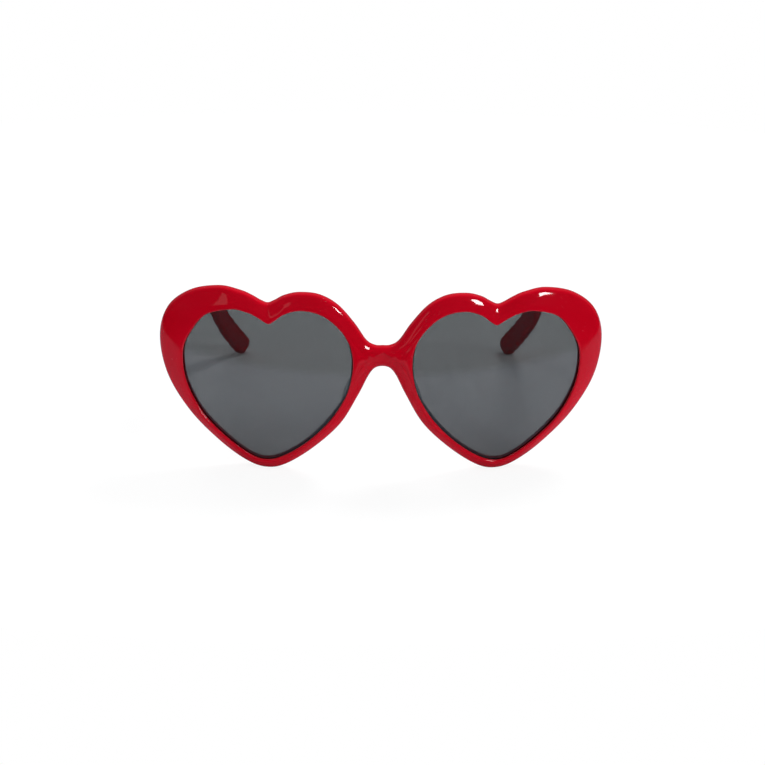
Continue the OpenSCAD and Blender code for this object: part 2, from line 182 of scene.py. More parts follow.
def wrapped_y(x, depth):
    """The front wraps round an upright axis: depth is counted back from its front face."""
    return wrap_r - sqrt((wrap_r - depth)**2 - x * x) - half_depth


side_w = inner_w[side_row] + outer_w[side_row]
print("rim at the outer side is", round(side_w * 1000, 2), "mm wide")

# %% [markdown]
# ## The rim
# The rim is one smooth moulding. Its face is nearly flat beside the lens and rolls off more and
# more towards the outer edge, its back is flat, and a groove round the opening holds the lens. The
# bridge lies a little deeper than the hearts. Behind the lens a narrow lip stands into the opening,
# and it fades out towards the point. A bevelled curve could make a rim, but its width couldn't
# change on the way round. Instead one loop of points runs round the heart and is extruded across
# the rim, a step at a time, until it comes back to where it began.

# %% The profile across the rim
# Each step is an offset from the opening, shares of the inner and the outer width, and a depth
flat_share, roll_start, roll_power, face_steps, back_steps = 0.64, 0.8, 2.5, 24, 5
quarter = [pi / 2 * k / 4 for k in range(5)]
profile = [(lip_round_r * (1 - cos(a)), 0, 0, lip_round_r * (1 - sin(a))) for a in quarter]
for k in range(1, face_steps + 1):
    u = k / face_steps
    edge = share((u - roll_start) / (1 - roll_start))
    roll_off = 1 - (1 - edge**roll_power)**(1 / roll_power)
    depth = dome_h * (flat_share * u**2 + (1 - flat_share) * roll_off)
    inner, outer = min(1, u / crown_share), max(0, (u - crown_share) / (1 - crown_share))
    profile.append((lip_round_r * (1 - inner), inner, outer, depth))
profile += [(-back_edge_r * (1 - cos(a)), 1, 1, rim_t - back_edge_r * (1 - sin(a)))
            for a in quarter]
# The flat back goes in narrow bands, because long faces would crease where the front wraps
back_lip = lip_round_r - back_lip_w
bands = [k / back_steps for k in range(back_steps)]
profile += [(-back_edge_r * (1 - s), 1, 1 - s, rim_t) for s in bands[1:]]
profile += [(back_lip * s, 1 - s, 0, rim_t) for s in bands]
profile += [(lip_round_r * (1 - sin(a)) - back_lip_w, 0, 0, rim_t - lip_round_r * (1 - cos(a)))
            for a in quarter]
profile += [(-back_lip_w, 0, 0, groove_back), (groove_d, 0, 0, groove_back),
            (groove_d, 0, 0, groove_front), (0, 0, 0, groove_front)]
print(len(profile), "steps across the rim")

# %% Extrude the loop across the rim
drop_start, drop_reach = 0.1, 0.35
weld, on_middle = 1e-6, 1e-7


def loop_place(i, step):
    """The place of a profile step at row i, with the lip's fading and the bridge's drop."""
    offset, share_in, share_out, depth = step
    if depth >= groove_back and offset < groove_d:
        rise = share((open_edge[i].y - rim_point_w) / lip_fade_h)
        offset += back_lip_w * (1 - rise) * (1 - share_in)
    p = across(i, offset + share_in * inner_w[i] + share_out * outer_w[i])
    if depth < dome_h + bridge_drop and share_in:
        t = share((share_in - drop_start) / drop_reach)
        depth += bridge_drop * share(crown_draw[i]) * t * t * (3 - 2 * t)
    return Vector((p.x, wrapped_y(p.x, depth), p.y))


def ring_of(bm, places):
    """A closed ring of new vertices and edges through the places."""
    verts = [bm.verts.new(p) for p in places]
    for a, b in zip(verts, verts[1:] + verts[:1]):
        bm.edges.new((a, b))
    return verts


def extrude_ring(bm, ring, places):
    """Extrudes a ring of vertices and moves each new vertex to its place."""
    edges = [bm.edges.get((a, b)) for a, b in zip(ring, ring[1:] + ring[:1])]
    made = bmesh.ops.extrude_edge_only(bm, edges=edges)["geom"]
    new = {v for v in made if isinstance(v, bmesh.types.BMVert)}
    after = [next(e.other_vert(v) for e in v.link_edges if e.other_vert(v) in new) for v in ring]
    for v, p in zip(after, places):
        v.co = p
    return after


front = bmesh.new()
ring = ring_of(front, [loop_place(i, profile[0]) for i in range(rows)])
for step in profile[1:] + profile[:1]:
    ring = extrude_ring(front, ring, [loop_place(i, step) for i in range(rows)])
bmesh.ops.remove_doubles(front, verts=front.verts, dist=weld)
# The left heart is opened where the bridge meets the middle, and then mirrored
seam = [f for f in front.faces if all(abs(v.co.x) < on_middle for v in f.verts)]
bmesh.ops.delete(front, geom=seam, context="FACES")
everything = front.verts[:] + front.edges[:] + front.faces[:]
bmesh.ops.mirror(front, geom=everything, axis="X", merge_dist=weld)
bmesh.ops.recalc_face_normals(front, faces=front.faces)
open_edges = sum(not e.is_manifold for e in front.edges)
print(len(front.faces), "faces in the front,", open_edges, "open edges")

# %% [markdown]
# ## The lugs behind the rim
# Behind each outer lobe a short lug carries the hinge. It is moulded in one with the rim, so it
# belongs to the same object. It could be a scaled cube with a Bevel modifier, but only its long
# edges are soft. So a block has just those bevelled, and a cylinder and a block are taken away by a
# Boolean, which leaves the round notch for the barrels and the pocket for the metal leaf.

# %% Sizes of the hinge and its place
temple_t, butt_h, temple_edge_r, butt_gap = 4.2 * MM, 8.8 * MM, 1.3 * MM, 0.2 * MM
lug_len, lug_sunk, lug_spare, skin = 5.4 * MM, 0.3 * MM, 3 * MM, 0.2 * MM
barrel_r, barrel_h, barrel_gap = 1.6 * MM, 1.4 * MM, 0.1 * MM
leaf_t, leaf_fit = 1.1 * MM, 0.04 * MM
temple_out_share, hinge_z_share = 0.892, 0.848
temple_out_x = half_w * temple_out_share
temple_mid_x = temple_out_x - temple_t / 2
hinge = Vector((temple_out_x - temple_t - skin,
                wrapped_y(temple_out_x - temple_t, rim_t) + lug_len, front_h * hinge_z_share))
hinge_h = 5 * barrel_h + 4 * barrel_gap
notch_r, leaf_off = barrel_r + skin, barrel_r - leaf_t
print("hinge axis at", [round(v * 1000, 2) for v in hinge])

# %% Helpers: blocks, cylinders, objects and cuts


def block(bm, low_corner, high_corner, turn=Matrix(), soft=0, segments=2):
    """A box between two corners, turned about the origin, with its edges bevelled by soft."""
    size = high_corner - low_corner
    place = turn @ Matrix.Translation((low_corner + high_corner) / 2) @ Matrix.Diagonal((*size, 1))
    verts = bmesh.ops.create_cube(bm, size=1, matrix=place)["verts"]
    if soft:
        edges = list({e for v in verts for e in v.link_edges})
        bmesh.ops.bevel(bm, geom=edges, offset=soft, segments=segments, affect="EDGES",
                        profile=0.5, material=-1)
    return verts


def rod(bm, radius, bottom, top, turn=Matrix(), sides=48):
    """An upright cylinder between two heights, turned about the origin."""
    place = turn @ Matrix.Translation((0, 0, (bottom + top) / 2))
    return bmesh.ops.create_cone(bm, cap_ends=True, segments=sides, radius1=radius, radius2=radius,
                                 depth=top - bottom, matrix=place)["verts"]


def set_sharp(bm, angle):
    """Smooth shading, broken at edges that turn more than the angle."""
    for f in bm.faces:
        f.smooth = True
    for e in bm.edges:
        e.smooth = len(e.link_faces) == 2 and e.calc_face_angle(0) < radians(angle)


def finished(bm, name, angle=35):
    """Ends a bmesh: shades it, writes it into a mesh and links its object."""
    set_sharp(bm, angle)
    mesh = bpy.data.meshes.new(name)
    bm.to_mesh(mesh)
    bm.free()
    piece = bpy.data.objects.new(name, mesh)
    bpy.context.scene.collection.objects.link(piece)
    return piece


def combine(bm, other, how):
    """Cuts, joins or meets bm with other by a Boolean, and returns the new bmesh."""
    piece, tool = finished(bm, "work"), finished(other, "tool")
    change = piece.modifiers.new("combine", "BOOLEAN")
    change.operation, change.object, change.solver = how, tool, "EXACT"
    change.use_self = True
    shown = piece.evaluated_get(bpy.context.evaluated_depsgraph_get())
    result = bmesh.new()
    result.from_mesh(shown.to_mesh())
    for o in (piece, tool):
        bpy.data.objects.remove(o)
    bmesh.ops.remove_doubles(result, verts=result.verts, dist=1e-7)
    return result


def mirror_over(bm):
    """Turns a left shape into the right one, with its faces outwards again."""
    bmesh.ops.scale(bm, vec=(-1, 1, 1), verts=bm.verts)
    bmesh.ops.reverse_faces(bm, faces=bm.faces)


def place_piece(bm, name, side, node, body, angle=35):
    """Ends a piece, mirrored for side -1, hides the node it stands for and ties it to its body."""
    if side < 0:
        mirror_over(bm)
    piece = finished(bm, name, angle)
    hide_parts(node)
    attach(piece, body)
    return piece


def with_mirror(bm, source):
    """Adds the shells of source and of its mirror image to bm."""
    mesh = bpy.data.meshes.new("half")
    source.to_mesh(mesh)
    source.free()
    for side in (1, -1):
        fresh = bmesh.new()
        fresh.from_mesh(mesh)
        if side < 0:
            mirror_over(fresh)
        copy = bpy.data.meshes.new("copy")
        fresh.to_mesh(copy)
        fresh.free()
        bm.from_mesh(copy)


# %% The lug with its notch and pocket


def hinge_room(yoke_h, turn):
    """The notch for the barrels, with the pocket beside it, for a lug (-Y) or an arm (+Y)."""
    room = bmesh.new()
    rod(room, notch_r, -hinge_h / 2 - skin, hinge_h / 2 + skin, turn)
    pocket = bmesh.new()
    reach = 2 * notch_r + leaf_t
    block(pocket, Vector((leaf_off - leaf_fit, 0, -yoke_h / 2 - leaf_fit)),
          Vector((leaf_off + leaf_t + leaf_fit, reach, yoke_h / 2 + leaf_fit)), turn)
    return combine(room, pocket, "UNION")


to_hinge = Matrix.Translation(hinge)
lug = bmesh.new()
lug_front, lug_back = hinge.y - lug_len - lug_sunk, hinge.y - butt_gap / 2
block(lug, Vector((temple_mid_x - temple_t / 2, lug_front - lug_spare, hinge.z - butt_h / 2)),
      Vector((temple_mid_x + temple_t / 2, lug_back, hinge.z + butt_h / 2)))
long_edges = [e for e in lug.edges if abs(e.verts[0].co.y - e.verts[1].co.y) > MM]
bmesh.ops.bevel(lug, geom=long_edges, offset=temple_edge_r, segments=6, affect="EDGES",
                profile=0.5, material=-1)
bmesh.ops.bisect_plane(lug, geom=lug.verts[:] + lug.edges[:] + lug.faces[:],
                       plane_co=(0, lug_front, 0), plane_no=(0, -1, 0), clear_outer=True)
bmesh.ops.holes_fill(lug, edges=[e for e in lug.edges if e.is_boundary])
lug = combine(lug, hinge_room(hinge_h, to_hinge @ Matrix.Rotation(pi, 4, "X")), "DIFFERENCE")
with_mirror(front, lug)
front_piece = place_piece(front, "moulded_front", 1, "front_frame", "front")
print("front:", len(front_piece.data.polygons), "faces")

# %% [markdown]
# ## The lenses
# A lens is cut from a curved sheet, and so is this one: an upright strip is spun about the axis
# that the front wraps round, and a thick heart, a little larger than the opening, keeps only what
# lies inside it. A grid bent to shape would do too, but the spin leaves two true cylindrical faces,
# which reflect without a ripple.

# %% Lenses
spin_start, spin_reach, spin_steps = radians(1), radians(22), 44
cutter_y, cutter_depth = -80 * MM, 60 * MM


def lens_blank():
    """The curved sheet: a flat section, spun about the wrap axis."""
    blank = bmesh.new()
    near, far = groove_front + lens_fit, groove_back - lens_fit
    axis_y = wrap_r - half_depth
    corners = [(near, -5 * MM), (far, -5 * MM), (far, front_h), (near, front_h)]
    section = blank.faces.new([blank.verts.new((0, d - half_depth, z)) for d, z in corners])
    bmesh.ops.rotate(blank, cent=(0, axis_y, 0), matrix=Matrix.Rotation(spin_start, 3, "Z"),
                     verts=blank.verts)
    bmesh.ops.spin(blank, geom=[section, *section.verts, *section.edges], cent=(0, axis_y, 0),
                   axis=(0, 0, 1), angle=spin_reach, steps=spin_steps, use_merge=False)
    bmesh.ops.recalc_face_normals(blank, faces=blank.faces)
    return blank


def lens(name, side, node):
    """The curved sheet, cut to a heart that reaches into the groove of the rim."""
    heart = bmesh.new()
    edge = [across(i, groove_d - lens_fit) for i in range(rows)]
    face = heart.faces.new([heart.verts.new((p.x, cutter_y, p.y)) for p in edge])
    pulled = bmesh.ops.extrude_face_region(heart, geom=[face])["geom"]
    bmesh.ops.translate(heart, vec=(0, cutter_depth, 0),
                        verts=[v for v in pulled if isinstance(v, bmesh.types.BMVert)])
    bmesh.ops.recalc_face_normals(heart, faces=heart.faces)
    cut = combine(lens_blank(), heart, "INTERSECT")
    return place_piece(cut, name, side, node, "front")


lenses = [lens("tinted_lens_left", 1, "lens_left"), lens("tinted_lens_right", -1, "lens_right")]
print("lens:", len(lenses[0].data.polygons), "faces,",
      [round(v * 1000, 1) for v in lenses[0].dimensions], "mm")

# %% [markdown]
# ## The arms
# Each arm is one slender moulding: straight back from the hinge, then down and inwards over the
# ear, ending in a rounded paddle. A curve with a bevel would keep one section all the way. Here a
# ring with round corners is extruded along the middle line, so it can grow and shrink on the way.
# The line is followed step by step from its turns, and the ring stands square to it.

# %% Sizes along the arm
temple_len, straight_len, bend_len = 133 * MM, 84 * MM, 16 * MM
bend, spread, tip_in = radians(36), radians(2.2), radians(35)
waist_h, paddle_h, paddle_t = 7 * MM, 8.4 * MM, 3.8 * MM
tip_r = paddle_h / 2
line_len = temple_len - tip_r
height_shares = [0, 0.1, 0.3, 0.55, 0.75, 0.9, 1]
height_sizes = [butt_h, butt_h, butt_h + (waist_h - butt_h) * 0.55, waist_h,
                (waist_h + paddle_h) / 2, paddle_h, paddle_h]
thick_sizes = [temple_t, temple_t, (temple_t + paddle_t) / 2] + [paddle_t] * 4
arm_steps, tip_steps, tip_fullness = 112, 12, 0.6
measured_steps = 28  # the measured model's steps, so that both arms slope alike
butt_place = Vector((temple_mid_x, hinge.y + butt_gap / 2, hinge.z))


def turn_at(l):
    """How far the arm is turned inwards at the length l."""
    return tip_in * share((l - straight_len) / (line_len - straight_len)) - spread


def heading(l):
    """The way the arm goes at the length l."""
    down = bend * share((l - straight_len) / bend_len)
    return Vector((-sin(turn_at(l)) * cos(down), cos(turn_at(l)) * cos(down), -sin(down)))


def size_at(sizes, l):
    """Looks a size up along the arm, eased from one named place to the next."""
    t = share(l / line_len)
    k = max(i for i in range(len(sizes) - 1) if height_shares[i] <= t)
    u = (t - height_shares[k]) / (height_shares[k + 1] - height_shares[k])
    return sizes[k] + (sizes[k + 1] - sizes[k]) * u


def follow(count):
    """Points along the middle line, each a short straight step from the one before."""
    points, step = [Vector((0, 0, 0))], line_len / count
    for i in range(count):
        points.append(points[-1] + step * heading((i + 0.5) * step))
    return points


coarse_end = follow(measured_steps)[-1]
slope = (asin((hinge.z - tip_r) / Vector((coarse_end.y, coarse_end.z)).length)
         - atan2(-coarse_end.z, coarse_end.y))
print("the arm slopes down by", round(degrees(slope), 2), "degrees")

# %% Extrude the arm


def round_corners(width, height, radius, per_corner=7):
    """Places round a rectangle with round corners, four quarters of a turn."""
    places = []
    for q in range(4):
        sx, sy = (1 if q in (0, 3) else -1), (1 if q < 2 else -1)
        for k in range(per_corner):
            a = pi / 2 * (q + k / (per_corner - 1))
            places.append((sx * (width / 2 - radius) + radius * cos(a),
                           sy * (height / 2 - radius) + radius * sin(a)))
    return places


def arm_section(p, l, height, thick):
    """The section at p, square to the way the arm goes there, sloped with the whole arm."""
    side = Vector((cos(turn_at(l)), sin(turn_at(l)), 0))
    up = side.cross(heading(l))
    radius = min(temple_edge_r, 0.49 * thick, 0.49 * height)
    lean = Matrix.Rotation(-slope, 3, "X")
    return [butt_place + lean @ (p + side * a + up * b)
            for a, b in round_corners(thick, height, radius)]


def arm_mesh():
    """The whole arm, from its flat butt at the hinge to the round tip."""
    arm = bmesh.new()
    ring = ring_of(arm, [butt_place + Vector((a, 0, b))
                         for a, b in round_corners(temple_t, butt_h, temple_edge_r)])
    arm.faces.new(ring)
    points, step = follow(arm_steps), line_len / arm_steps
    for i in range(2, arm_steps + 1):
        l = i * step
        ring = extrude_ring(arm, ring, arm_section(points[i], l, size_at(height_sizes, l),
                                                   size_at(thick_sizes, l)))
    for k in range(1, tip_steps):
        a = pi / 2 * k / tip_steps
        p = points[-1] + heading(line_len) * tip_r * sin(a)
        ring = extrude_ring(arm, ring, arm_section(p, line_len, paddle_h * cos(a),
                                                   paddle_t * cos(a)**tip_fullness))
    arm.faces.new(ring)
    bmesh.ops.recalc_face_normals(arm, faces=arm.faces)
    return arm


middle_h = 3 * barrel_h + 2 * barrel_gap


def arm(name, side, body, node):
    """An arm, with the notch and pocket of its hinge cut out."""
    shape = combine(arm_mesh(), hinge_room(middle_h, to_hinge), "DIFFERENCE")
    return place_piece(shape, name, side, node, body)


arms = [arm("moulded_arm_left", 1, "left_arm", "temple_left"),
        arm("moulded_arm_right", -1, "right_arm", "temple_right")]
print("arm:", len(arms[0].data.polygons), "faces, lowest point",
      round(min(v.co.z for v in arms[0].data.vertices) * 1000, 3), "mm above the table")

# %% [markdown]
# ## The nose pads
# The pads are small clear teardrops that lean with the rim and splay back along the nose. They
# could be sculpted, but both have to be alike. So each one starts as a ball, is drawn out to a
# teardrop, turned to its place and sliced flat where its foot meets the rim. A short peg, sunk in
# the rim, holds it.

# %% Nose pads
pad_h, pad_w, pad_t = 16 * MM, 6.8 * MM, 2.6 * MM
pad_splay, pad_rake, pad_lift = radians(20), radians(23), 0.3 * MM
pad_taper, pad_pinch, pad_cheek, pad_sides, pad_rings = 0.12, 0.1, 0.22, 64, 48
pad_foot_share, pad_forward_share, foot_edge = 0.66, 0.28, 0.12 * MM
peg_r, peg_len = 0.6 * MM, 1.5 * MM
pad_row = bridge_row - 3 * steps
pad_foot = across(pad_row, (inner_w[pad_row] + outer_w[pad_row]) * pad_foot_share)
pad_place = Matrix.Translation((pad_foot.x, wrapped_y(pad_foot.x, rim_t), pad_foot.y))


def nose_pad(name, side, node):
    """A teardrop with a flat foot and a peg. Its height z goes from -1 to 1 while it is shaped."""
    pad = bmesh.new()
    bmesh.ops.create_uvsphere(pad, u_segments=pad_sides, v_segments=pad_rings, radius=1)
    for v in pad.verts:
        x, y, z = v.co
        fuller = 1 - pad_taper * z - pad_pinch * z**2 + pad_cheek * (1 - z**2) * abs(z)
        v.co = Vector((x * pad_t / 2, y * pad_w / 2 * fuller, z * pad_h / 2))
    bmesh.ops.translate(pad, vec=(0, pad_w * pad_forward_share, 0), verts=pad.verts)
    lean = Matrix.Rotation(-pad_rake, 4, "Y") @ Matrix.Rotation(-pad_splay, 4, "Z")
    bmesh.ops.transform(pad, matrix=lean, verts=pad.verts)
    bmesh.ops.bisect_plane(pad, geom=pad.verts[:] + pad.edges[:] + pad.faces[:],
                           plane_co=(0, pad_lift, 0), plane_no=(0, -1, 0), clear_outer=True)
    foot = bmesh.ops.holes_fill(pad, edges=[e for e in pad.edges if e.is_boundary])["faces"]
    bmesh.ops.bevel(pad, geom=list({e for f in foot for e in f.edges}), offset=foot_edge,
                    segments=2, affect="EDGES", profile=0.5, material=-1)
    rod(pad, peg_r, -peg_len, pad_lift + peg_r, Matrix.Rotation(-pi / 2, 4, "X"), sides=32)
    bmesh.ops.transform(pad, matrix=pad_place, verts=pad.verts)
    bmesh.ops.recalc_face_normals(pad, faces=pad.faces)
    return place_piece(pad, name, side, node, "front", angle=50)


pads = [nose_pad("clear_pad_left", 1, "nose_pad_left"),
        nose_pad("clear_pad_right", -1, "nose_pad_right")]
print("pad size in mm:", [round(v * 1000, 2) for v in pads[0].dimensions])

# %% [markdown]
# ## The hinges
# Each hinge is two metal leaves whose barrels stand in turn on one screw: three on the front, two
# on the arm. A Boolean could weld each leaf to one skin, but its long thin faces would spoil the
# bevels. So the barrels, webs and plates are bevelled blocks and cylinders that overlap in one
# piece, as the plate and the rolled barrels of a real leaf do. The fine bevels catch the light.

# %% Hinge leaves
screw_r, screw_fit, screw_head_r, screw_head_h = 0.7 * MM, 0.03 * MM, 1.15 * MM, 0.6 * MM
tail_h, front_tail_len, arm_tail_len, yoke_len = 4.6 * MM, 3 * MM, 12 * MM, leaf_t * 1.6
burr, bore_depth, web_share = 0.08 * MM, 0.3 * MM, 1.4


def soften(bm, verts, angle=60, width=burr):
    """Bevels the edges among verts that turn more than the angle."""
    edges = [e for e in {e for v in verts for e in v.link_edges}
             if len(e.link_faces) == 2 and e.calc_face_angle(0) > radians(angle)]
    bmesh.ops.bevel(bm, geom=edges, offset=width, segments=2, affect="EDGES", profile=0.5,
                    material=-1)


def barrel(bm, bottom, countersunk):
    """A barrel with its bore; the top one on the front leaf is widened for the screw's head."""
    tube = rod(bm, barrel_r, bottom, bottom + barrel_h)
    caps = {f for v in tube for f in v.link_faces if len(f.verts) > 4}
    for cap in sorted(caps, key=lambda f: f.calc_center_median().z):
        top = cap.normal.z > 0
        wide = countersunk and top
        hole = screw_head_r if wide else screw_r
        bmesh.ops.inset_region(bm, faces=[cap], thickness=barrel_r - hole - screw_fit)
        depth = screw_head_h if wide else bore_depth
        sunk = bmesh.ops.extrude_face_region(bm, geom=[cap])["geom"]
        bmesh.ops.translate(bm, vec=(0, 0, -depth if top else depth),
                            verts=[v for v in sunk if isinstance(v, bmesh.types.BMVert)])
        bmesh.ops.delete(bm, geom=[cap] if cap.is_valid else [], context="FACES")


def leaf(name, numbers, yoke_h, tail_len, tail_turn, turn, side, body, node):
    """A leaf: its barrels by number from below, a web to each, the yoke plate and the tail."""
    metal = bmesh.new()
    for n in numbers:
        bottom = -hinge_h / 2 + n * (barrel_h + barrel_gap)
        barrel(metal, bottom, n == 4)
        block(metal, Vector((leaf_off, screw_r * web_share, bottom)),
              Vector((leaf_off + leaf_t, notch_r + leaf_t, bottom + barrel_h)), soft=burr)
    block(metal, Vector((leaf_off, notch_r, -yoke_h / 2)),
          Vector((leaf_off + leaf_t, notch_r + yoke_len, yoke_h / 2)), soft=burr)
    block(metal, Vector((leaf_off, notch_r + yoke_len / 2, -tail_h / 2)),
          Vector((leaf_off + leaf_t, notch_r + yoke_len / 2 + tail_len, tail_h / 2)), tail_turn,
          soft=burr)
    bmesh.ops.transform(metal, matrix=turn, verts=metal.verts)
    bmesh.ops.recalc_face_normals(metal, faces=metal.faces)
    return place_piece(metal, name, side, node, body)


arm_tail = Matrix.Rotation(-slope, 4, "X") @ Matrix.Rotation(-spread, 4, "Z")
facing_front = to_hinge @ Matrix.Diagonal((1, -1, 1, 1))
leaves = []
for word, side in (("left", 1), ("right", -1)):
    leaves.append(leaf("front_leaf_" + word, (0, 2, 4), hinge_h, front_tail_len, Matrix(),
                       facing_front, side, "front", "front_hinge_" + word))
    leaves.append(leaf("arm_leaf_" + word, (1, 3), middle_h, arm_tail_len, arm_tail,
                       to_hinge, side, word + "_arm", "temple_hinge_" + word))
print("leaves:", [len(o.data.polygons) for o in leaves])

# %% Hinge screws
head_edge = 0.15 * MM


def screw(name, side, node):
    """A smooth pin with a slotted head, which fills the widened top of the bore."""
    pin = bmesh.new()
    rod(pin, screw_r, -hinge_h / 2, hinge_h / 2 - screw_head_h / 2, sides=40)
    soften(pin, pin.verts[:])
    head = bmesh.new()
    crown = rod(head, screw_head_r, hinge_h / 2 - screw_head_h + screw_fit, hinge_h / 2, sides=40)
    soften(head, crown, width=head_edge)
    slot = bmesh.new()
    block(slot, Vector((-2 * screw_head_r, -screw_r / 4, hinge_h / 2 - screw_head_h / 2)),
          Vector((2 * screw_head_r, screw_r / 4, hinge_h / 2 + MM)))
    pin = combine(pin, combine(head, slot, "DIFFERENCE"), "UNION")
    bmesh.ops.transform(pin, matrix=to_hinge, verts=pin.verts)
    return place_piece(pin, name, side, node, "front")


screws = [screw("slotted_screw_left", 1, "hinge_screw_left"),
          screw("slotted_screw_right", -1, "hinge_screw_right")]
print("screws:", [len(o.data.polygons) for o in screws])

# %% [markdown]
# ## Shared surface effects
# Nothing handled is evenly clean. The nodes for that could be copied into each material, but three
# small effects serve them all, so each is a node group with its own inputs: a faint waviness from
# moulding, soft smudges left by fingers, and sparse specks of dust. They put out only values, and
# each material decides what a value changes.

# %% Node helpers


def add(tree, kind, x, y, settings=None, **inputs):
    """Adds a node, with its settings and the values of its named inputs."""
    node = tree.nodes.new(kind)
    node.location = (x, y)
    for name, value in (settings or {}).items():
        setattr(node, name, value)
    for name, value in inputs.items():
        node.inputs[name.replace("_", " ")].default_value = value
    return node


def effect(name, inputs, outputs):
    """An empty node group with named inputs and outputs."""
    tree = bpy.data.node_groups.new(name, "ShaderNodeTree")
    for label, kind, value in inputs:
        socket = tree.interface.new_socket(name=label, in_out="INPUT", socket_type=kind)
        if value is not None:
            socket.default_value = value
    for label in outputs:
        tree.interface.new_socket(name=label, in_out="OUTPUT", socket_type="NodeSocketFloat")
    return tree, add(tree, "NodeGroupInput", -700, 0), add(tree, "NodeGroupOutput", 500, 0)


# %% Waviness, smudges and dust
wave, wave_in, wave_out = effect("moulding waviness", [
    ("Vector", "NodeSocketVector", None), ("Scale", "NodeSocketFloat", 60.0)], ["Height"])
broad = add(wave, "ShaderNodeTexNoise", -400, 100, Detail=1.0, Roughness=0.4, Distortion=0.3)
wave.links.new(wave_in.outputs["Vector"], broad.inputs["Vector"])
wave.links.new(wave_in.outputs["Scale"], broad.inputs["Scale"])
wave.links.new(broad.outputs["Fac"], wave_out.inputs["Height"])

smudge, smudge_in, smudge_out = effect("finger smudges", [
    ("Vector", "NodeSocketVector", None), ("Scale", "NodeSocketFloat", 90.0),
    ("Amount", "NodeSocketFloat", 0.5)], ["Mask"])
patch = add(smudge, "ShaderNodeTexNoise", -450, 150, Detail=3.0, Roughness=0.55, Distortion=0.8)
edge = add(smudge, "ShaderNodeMapRange", -200, 150, {"interpolation_type": "SMOOTHSTEP"},
           From_Min=0.46, From_Max=0.72)
times = add(smudge, "ShaderNodeMath", 100, 50, {"operation": "MULTIPLY"})
smudge.links.new(smudge_in.outputs["Vector"], patch.inputs["Vector"])
smudge.links.new(smudge_in.outputs["Scale"], patch.inputs["Scale"])
smudge.links.new(patch.outputs["Fac"], edge.inputs["Value"])
smudge.links.new(edge.outputs["Result"], times.inputs[0])
smudge.links.new(smudge_in.outputs["Amount"], times.inputs[1])
smudge.links.new(times.outputs["Value"], smudge_out.inputs["Mask"])

dust, dust_in, dust_out = effect("dust specks", [
    ("Vector", "NodeSocketVector", None), ("Scale", "NodeSocketFloat", 900.0),
    ("Size", "NodeSocketFloat", 0.08)], ["Mask"])
cells = add(dust, "ShaderNodeTexVoronoi", -450, 150)
here = add(dust, "ShaderNodeMath", -200, 150, {"operation": "LESS_THAN"})
where = add(dust, "ShaderNodeTexNoise", -450, -150, Scale=140.0, Detail=2.0)
some = add(dust, "ShaderNodeMapRange", -200, -150, From_Min=0.5, From_Max=0.62)
both = add(dust, "ShaderNodeMath", 100, 50, {"operation": "MULTIPLY"})
dust.links.new(dust_in.outputs["Vector"], cells.inputs["Vector"])
dust.links.new(dust_in.outputs["Scale"], cells.inputs["Scale"])
dust.links.new(cells.outputs["Distance"], here.inputs[0])
dust.links.new(dust_in.outputs["Size"], here.inputs[1])
dust.links.new(dust_in.outputs["Vector"], where.inputs["Vector"])
dust.links.new(where.outputs["Fac"], some.inputs["Value"])
dust.links.new(here.outputs["Value"], both.inputs[0])
dust.links.new(some.outputs["Result"], both.inputs[1])
dust.links.new(both.outputs["Value"], dust_out.inputs["Mask"])
print("effects:", [g.name for g in bpy.data.node_groups])

# %% [markdown]
# ## The finishes
# Each finish is a Principled shader with plain numbers where the surface is even, and links only
# where it changes. The red plastic is polished, so its colour is deep and its reflections are
# sharp. The lens could be a see-through colour, but tinted glass bends and mirrors light as the
# real one does. The pads are milky soft plastic, the hinge leaves satin and the screws bright.

# %% Finish helpers


def finish(name, **plain):
    """A material with a Principled shader, whose plain inputs are set, and object coordinates."""
    material = bpy.data.materials.new(name)
    material.use_nodes = True
    tree = material.node_tree
    tree.nodes.clear()
    surface = add(tree, "ShaderNodeBsdfPrincipled", 500, 0, **plain)
    output = add(tree, "ShaderNodeOutputMaterial", 850, 0)
    where = add(tree, "ShaderNodeTexCoord", -900, 0)
    tree.links.new(surface.outputs["BSDF"], output.inputs["Surface"])
    return material, tree, surface, where


def place_effect(tree, group, where, x, y, **inputs):
    """Puts a shared effect into a material, on object coordinates."""
    node = add(tree, "ShaderNodeGroup", x, y, {"node_tree": group}, **inputs)
    tree.links.new(where.outputs["Object"], node.inputs["Vector"])
    return node


def blend_colours(tree, mask, first, second, x, y):
    """Mixes two colours by a mask and gives the output to link on."""
    mix = add(tree, "ShaderNodeMix", x, y, {"data_type": "RGBA"})
    tree.links.new(mask, mix.inputs[0])
    for socket, value in ((mix.inputs[6], first), (mix.inputs[7], second)):
        if isinstance(value, bpy.types.NodeSocket):
            tree.links.new(value, socket)
        else:
            socket.default_value = (*value, 1)
    return mix.outputs[2]


def spread_value(tree, value, low_end, high_end, x, y):
    """Maps a value from 0 to 1 onto another range, as for roughness."""
    ranged = add(tree, "ShaderNodeMapRange", x, y, To_Min=low_end, To_Max=high_end)
    tree.links.new(value, ranged.inputs["Value"])
    return ranged.outputs["Result"]


def raise_bump(tree, height, surface, strength, distance, x, y):
    """Lets a height tilt the light on the surface, for relief too fine to model."""
    bump = add(tree, "ShaderNodeBump", x, y, Strength=strength, Distance=distance)
    tree.links.new(height, bump.inputs["Height"])
    tree.links.new(bump.outputs["Normal"], surface.inputs["Normal"])


